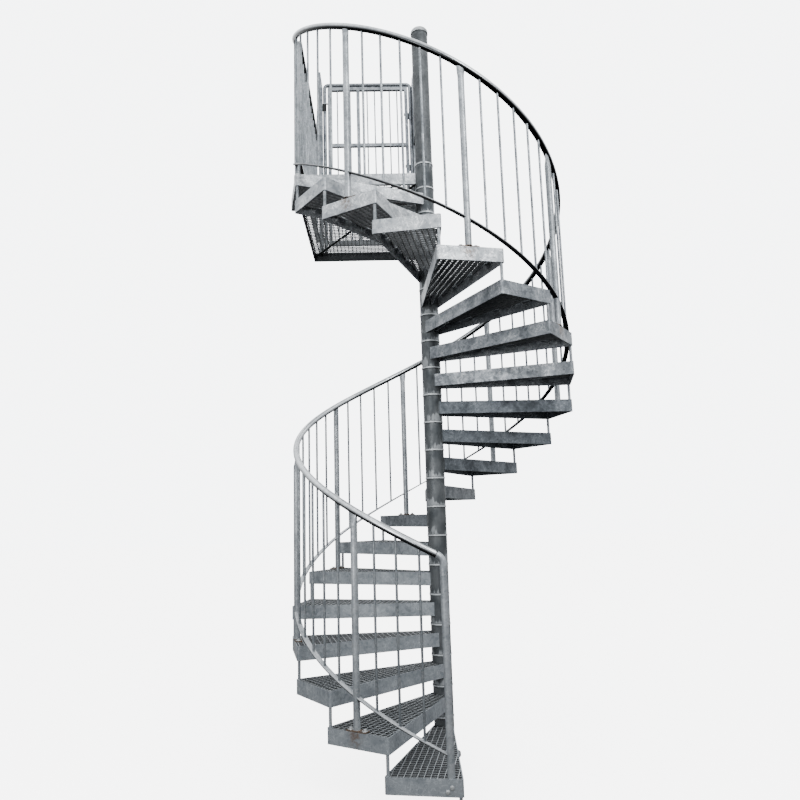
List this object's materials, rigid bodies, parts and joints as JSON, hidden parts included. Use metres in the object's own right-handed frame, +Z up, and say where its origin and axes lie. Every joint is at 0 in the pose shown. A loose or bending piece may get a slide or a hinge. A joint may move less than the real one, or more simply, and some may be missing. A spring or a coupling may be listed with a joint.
{
  "type": "spiral staircase",
  "caption": "Galvanised steel spiral staircase: wedge grating treads on a sleeved column, helical handrail with balusters, square landing and hinged gate.",
  "frame": {"origin": "centre of the underside of the column's base plate, at ground level", "axes": "+Z up along the column; -X along the landing's front edge; +Y from the column along the landing to the gate; the climb runs clockwise seen from above"},
  "size_m": [1.8396, 2.4198, 5.545],
  "materials": {
    "column_steel": "hot-dip galvanised",
    "tread_steel": "hot-dip galvanised",
    "grating_steel": "hot-dip galvanised",
    "strut_steel": "hot-dip galvanised",
    "landing_steel": "hot-dip galvanised",
    "handrail_steel": "hot-dip galvanised",
    "railing_steel": "hot-dip galvanised",
    "gate_steel": "hot-dip galvanised"
  },
  "bodies": {
    "root": {"base_plate": "column_steel", "column": "column_steel", "column_cap": "column_steel", "base_collar": "column_steel", "tread_01": "tread_steel", "tread_02": "tread_steel", "tread_03": "tread_steel", "tread_04": "tread_steel", "tread_05": "tread_steel", "tread_06": "tread_steel", "tread_07": "tread_steel", "tread_08": "tread_steel", "tread_09": "tread_steel", "tread_10": "tread_steel", "tread_11": "tread_steel", "tread_12": "tread_steel", "tread_13": "tread_steel", "tread_14": "tread_steel", "tread_15": "tread_steel", "tread_16": "tread_steel", "tread_17": "tread_steel", "tread_18": "tread_steel", "tread_19": "tread_steel", "tread_20": "tread_steel", "tread_gratings": "grating_steel", "spacer_struts": "strut_steel", "landing_hub": "landing_steel", "landing_frame": "landing_steel", "landing_brace": "strut_steel", "landing_grating": "grating_steel", "handrail": "handrail_steel", "lower_rail": "railing_steel", "start_post": "railing_steel", "rail_posts": "railing_steel", "post_feet": "strut_steel", "balusters_lower": "railing_steel", "balusters_upper": "railing_steel", "corner_post": "railing_steel", "left_rail": "handrail_steel", "left_bars": "railing_steel", "right_rail": "handrail_steel", "right_bars": "railing_steel", "gate_posts": "gate_steel", "gate_wings": "gate_steel", "gate_portal": "gate_steel", "hinge_pins": "gate_steel", "gate_keeper": "gate_steel"},
    "gate": {"gate_leaf": "gate_steel", "gate_bars": "gate_steel", "hinge_eyes": "gate_steel", "gate_latch": "gate_steel"}
  },
  "joints": [
    {"name": "gate_hinge", "type": "hinge", "parent": "root", "child": "gate", "pos_m": [-0.021, 1.464, 5.12], "axis": [0, 0, -1], "range_deg": [0, 95]}
  ]
}
